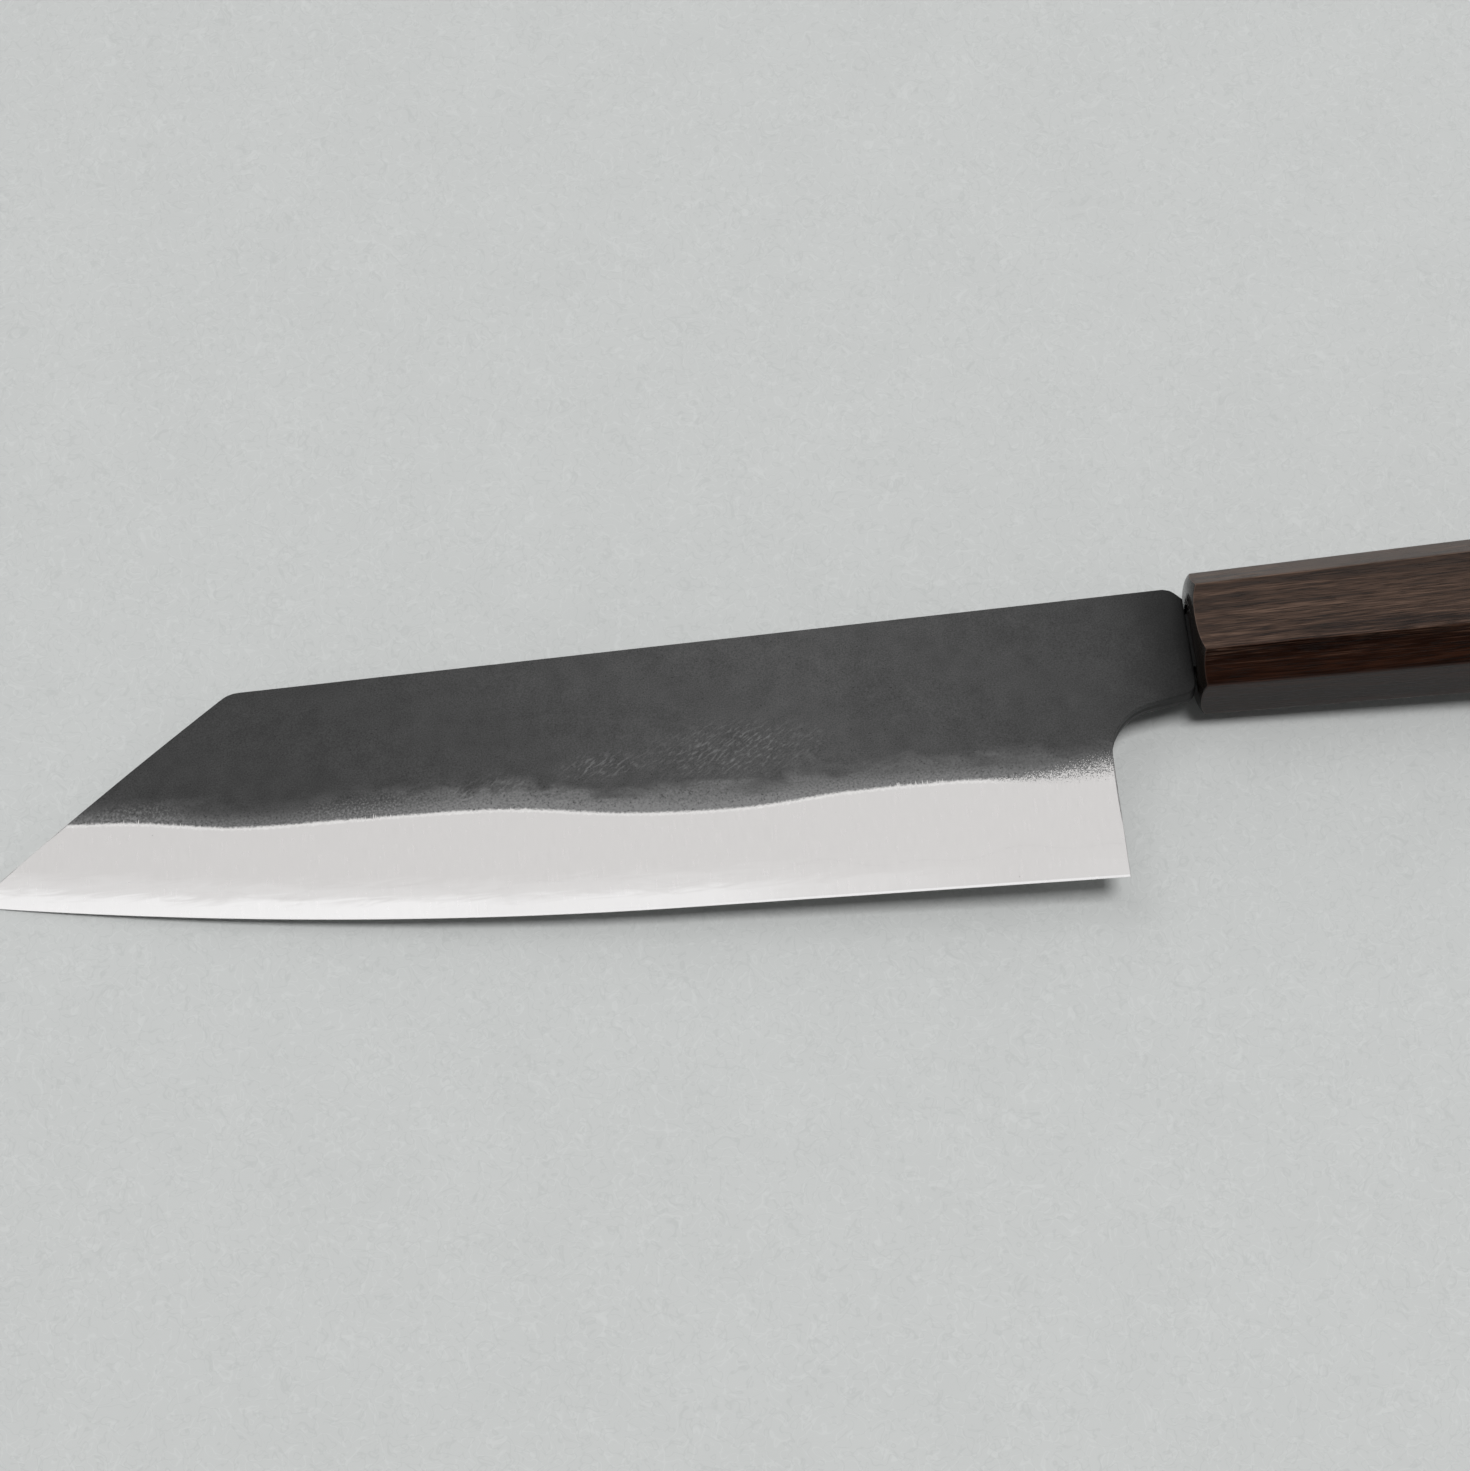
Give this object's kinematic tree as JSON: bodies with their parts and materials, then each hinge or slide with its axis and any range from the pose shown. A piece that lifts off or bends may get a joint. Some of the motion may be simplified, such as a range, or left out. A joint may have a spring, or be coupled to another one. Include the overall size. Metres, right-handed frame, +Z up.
{
  "type": "kitchen knife",
  "caption": "Bunka kitchen knife with a slanted point, a black forge-finished laminated blade and a tapered octagonal wooden handle, laid on its side.",
  "frame": {"origin": "bottom centre of the knife's box, on the table that it lies on", "axes": "+X towards the butt of the handle, so the point is at -X; +Y towards the spine, so the edge is at -Y; +Z up, out of the blade's left face. The knife lies on its right side and leans by 2.5 degrees, on the blade's point and the handle's front edge."},
  "size_m": [0.3142, 0.0502, 0.024],
  "materials": {
    "core_steel": "ground and finely polished across the bevel",
    "forged_iron": "black forge scale on the flats, satin ground bevel below",
    "rosewood": "dark dense hardwood, sanded fine and oiled",
    "magnolia": "pale raw wood",
    "black_resin": "cast black resin"
  },
  "bodies": {
    "root": {"blade_core": "core_steel", "blade_cladding_left": "forged_iron", "blade_cladding_right": "forged_iron", "handle_body": "rosewood", "tang_dowel_left": "magnolia", "tang_dowel_right": "magnolia", "mouth_seal": "black_resin"}
  },
  "joints": []
}
